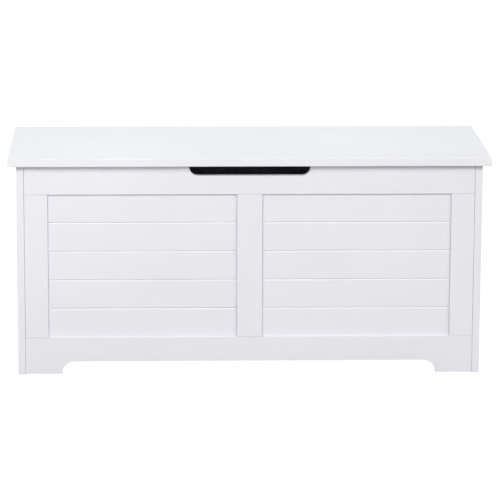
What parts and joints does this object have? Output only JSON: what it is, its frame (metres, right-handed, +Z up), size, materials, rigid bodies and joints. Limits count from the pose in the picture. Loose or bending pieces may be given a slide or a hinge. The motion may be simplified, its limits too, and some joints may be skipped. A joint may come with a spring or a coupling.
{
  "type": "toy box",
  "caption": "White painted wooden toy chest with a hinged lid, a framed front of recessed planks, a finger opening and arched bracket feet.",
  "frame": {"origin": "on the floor, under the centre of the closed lid", "axes": "+Z up, +X to the chest's right seen from the front, +Y to the back; the framed front faces -Y"},
  "size_m": [1, 0.4, 0.46],
  "materials": {
    "painted_board": "satin white paint over fibreboard",
    "painted_lid": "satin white paint over fibreboard",
    "pine_batten": "planed pine, unfinished",
    "beech_dowel": "fluted beech, unfinished",
    "hinge_steel": "nickel-plated pressed steel",
    "spring_steel": "hardened spring steel, oiled",
    "zinc_fitting": "die-cast zinc alloy",
    "plated_screw": "zinc-plated steel",
    "bumper_rubber": "soft clear rubber"
  },
  "bodies": {
    "chest": {"side_panel_left": "painted_board", "side_panel_right": "painted_board", "front_top_rail": "painted_board", "front_bottom_rail": "painted_board", "front_centre_stile": "painted_board", "front_stile_left": "painted_board", "front_stile_right": "painted_board", "front_plank_panel_left": "painted_board", "front_plank_panel_right": "painted_board", "back_panel": "painted_board", "floor_panel": "painted_board", "batten_front": "pine_batten", "batten_back": "pine_batten", "batten_left": "pine_batten", "batten_right": "pine_batten", "floor_brace": "pine_batten", "batten_screws": "plated_screw", "floor_screws": "plated_screw", "cam_locks": "zinc_fitting", "cam_bolts": "plated_screw", "panel_dowels": "beech_dowel", "frame_dowels": "beech_dowel", "lid_bumpers": "bumper_rubber", "hinge_left_body_leaf": "hinge_steel", "hinge_left_pin": "hinge_steel", "hinge_right_body_leaf": "hinge_steel", "hinge_right_pin": "hinge_steel", "hinge_body_screws": "plated_screw"},
    "lid": {"lid_panel": "painted_lid", "hinge_left_lid_leaf": "hinge_steel", "hinge_right_lid_leaf": "hinge_steel", "hinge_friction_clips": "spring_steel", "hinge_lid_screws": "plated_screw"}
  },
  "joints": [
    {"name": "lid_hinge", "type": "hinge", "parent": "chest", "child": "lid", "pos_m": [0, 0.191, 0.438], "axis": [-1, 0, 0], "range_deg": [0, 90]}
  ]
}
